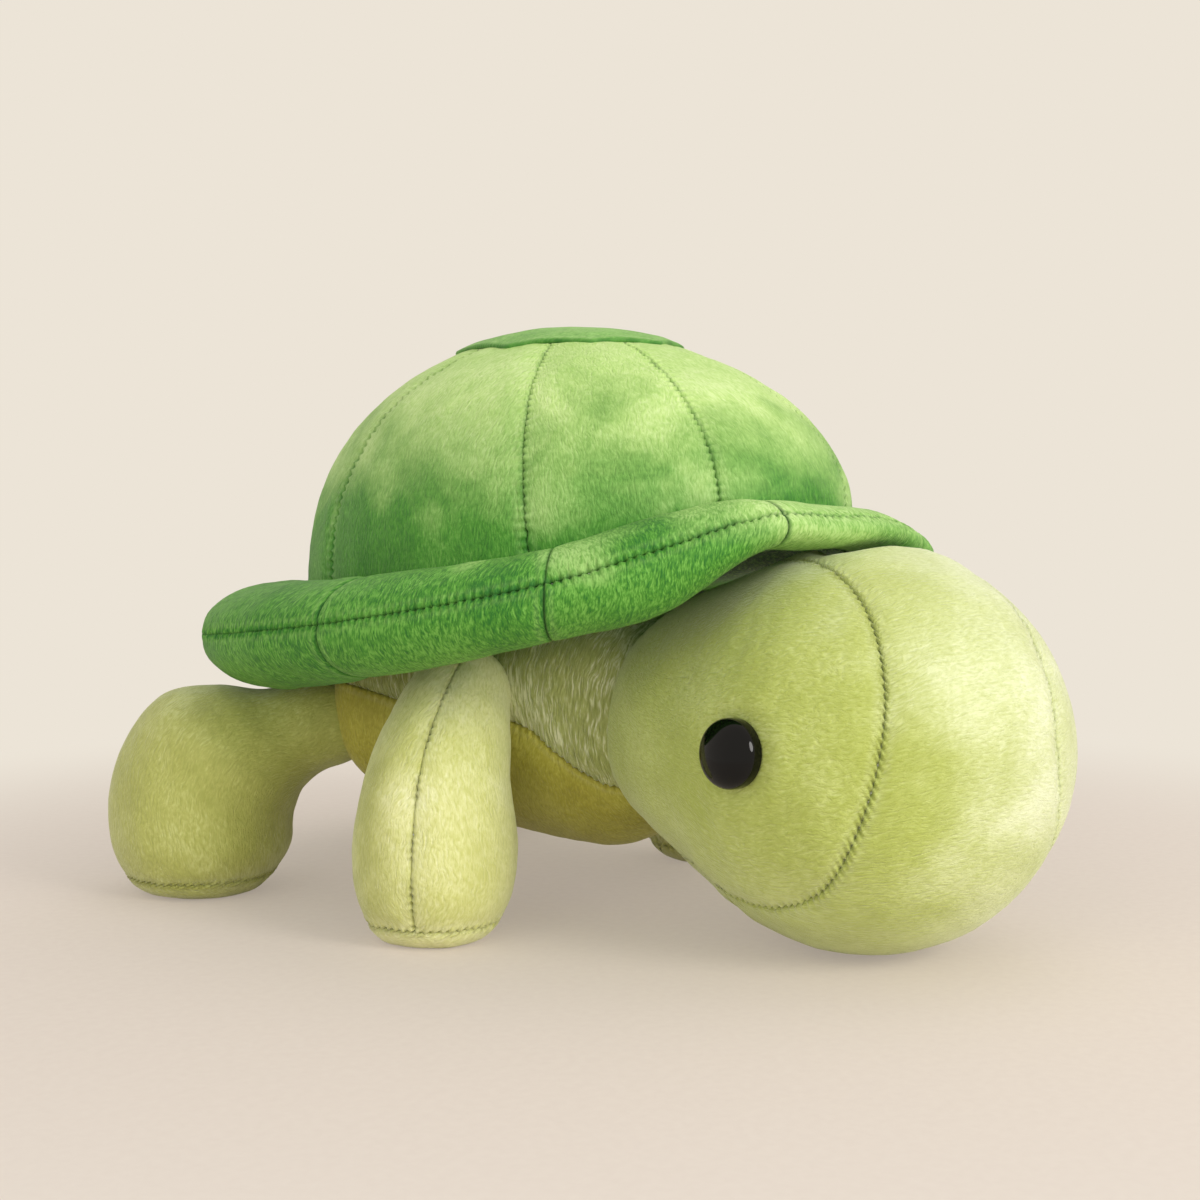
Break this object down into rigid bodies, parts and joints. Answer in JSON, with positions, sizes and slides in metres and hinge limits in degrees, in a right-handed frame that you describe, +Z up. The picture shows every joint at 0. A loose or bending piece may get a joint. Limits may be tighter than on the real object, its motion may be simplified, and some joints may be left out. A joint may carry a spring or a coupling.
{
  "type": "plush turtle",
  "caption": "Plush turtle standing on its soles, with a domed shell of gores, a stuffed rim round it, and a large round head turned to its right. Head, legs and tail swing on their seams.",
  "frame": {"origin": "middle of the bounding box's underside, on the floor under the four soles", "axes": "+X to the turtle's left, -Y the way its body faces, +Z up"},
  "size_m": [0.2428, 0.3486, 0.211],
  "materials": {
    "dome_plush": "short pile plush",
    "patch_plush": "short pile plush",
    "rim_plush": "short pile plush",
    "head_plush": "short pile plush",
    "leg_plush": "short pile plush",
    "flank_plush": "short pile plush",
    "belly_plush": "short pile plush",
    "stuffing": "loose fibre",
    "eye_plastic": "gloss",
    "washer_plastic": "matte"
  },
  "bodies": {
    "torso": {"shell_gore_1": "dome_plush", "shell_gore_2": "dome_plush", "shell_gore_3": "dome_plush", "shell_gore_4": "dome_plush", "shell_gore_5": "dome_plush", "shell_gore_6": "dome_plush", "shell_gore_7": "dome_plush", "shell_gore_8": "dome_plush", "shell_patch": "patch_plush", "shell_base": "rim_plush", "shell_stuffing": "stuffing", "rim_upper_1": "rim_plush", "rim_upper_2": "rim_plush", "rim_upper_3": "rim_plush", "rim_upper_4": "rim_plush", "rim_upper_5": "rim_plush", "rim_upper_6": "rim_plush", "rim_upper_7": "rim_plush", "rim_upper_8": "rim_plush", "rim_upper_9": "rim_plush", "rim_upper_10": "rim_plush", "rim_lower_1": "rim_plush", "rim_lower_2": "rim_plush", "rim_lower_3": "rim_plush", "rim_lower_4": "rim_plush", "rim_lower_5": "rim_plush", "rim_lower_6": "rim_plush", "rim_lower_7": "rim_plush", "rim_lower_8": "rim_plush", "rim_lower_9": "rim_plush", "rim_lower_10": "rim_plush", "rim_stuffing": "stuffing", "body_upper": "flank_plush", "belly_left": "belly_plush", "belly_right": "belly_plush", "body_stuffing": "stuffing"},
    "head": {"head_middle": "head_plush", "head_throat": "head_plush", "head_side_left": "head_plush", "head_side_right": "head_plush", "head_stuffing": "stuffing", "eye_left": "eye_plastic", "eye_right": "eye_plastic", "eye_washer_left": "washer_plastic", "eye_washer_right": "washer_plastic"},
    "leg_front_left": {"leg_front_left_outer": "leg_plush", "leg_front_left_inner": "leg_plush", "leg_front_left_sole": "leg_plush", "leg_front_left_stuffing": "stuffing"},
    "leg_front_right": {"leg_front_right_outer": "leg_plush", "leg_front_right_inner": "leg_plush", "leg_front_right_sole": "leg_plush", "leg_front_right_stuffing": "stuffing"},
    "leg_rear_left": {"leg_rear_left_cover": "leg_plush", "leg_rear_left_sole": "leg_plush", "leg_rear_left_stuffing": "stuffing"},
    "leg_rear_right": {"leg_rear_right_cover": "leg_plush", "leg_rear_right_sole": "leg_plush", "leg_rear_right_stuffing": "stuffing"},
    "tail": {"tail": "flank_plush"}
  },
  "joints": [
    {"name": "head_turn", "type": "hinge", "parent": "torso", "child": "head", "pos_m": [-0.0004, 0.00465, 0.07], "axis": [0, 0, 1], "range_deg": [-6, 10], "stiffness_Nm_per_rad": 1},
    {"name": "front_left_swing", "type": "hinge", "parent": "torso", "child": "leg_front_left", "pos_m": [0.0581, 0.02365, 0.08], "axis": [1, 0, 0], "range_deg": [-15, 15], "stiffness_Nm_per_rad": 0.8},
    {"name": "front_right_swing", "type": "hinge", "parent": "torso", "child": "leg_front_right", "pos_m": [-0.0589, 0.02365, 0.08], "axis": [1, 0, 0], "range_deg": [-15, 15], "stiffness_Nm_per_rad": 0.8},
    {"name": "rear_left_sweep", "type": "hinge", "parent": "torso", "child": "leg_rear_left", "pos_m": [0.0486, 0.09965, 0.064], "axis": [0, 0, -1], "range_deg": [-5, 20], "stiffness_Nm_per_rad": 0.8},
    {"name": "rear_right_sweep", "type": "hinge", "parent": "torso", "child": "leg_rear_right", "pos_m": [-0.0494, 0.09965, 0.064], "axis": [0, 0, 1], "range_deg": [-5, 20], "stiffness_Nm_per_rad": 0.8},
    {"name": "tail_wag", "type": "hinge", "parent": "torso", "child": "tail", "pos_m": [-0.0004, 0.11765, 0.069], "axis": [0, 0, 1], "range_deg": [-20, 20], "stiffness_Nm_per_rad": 0.05}
  ]
}
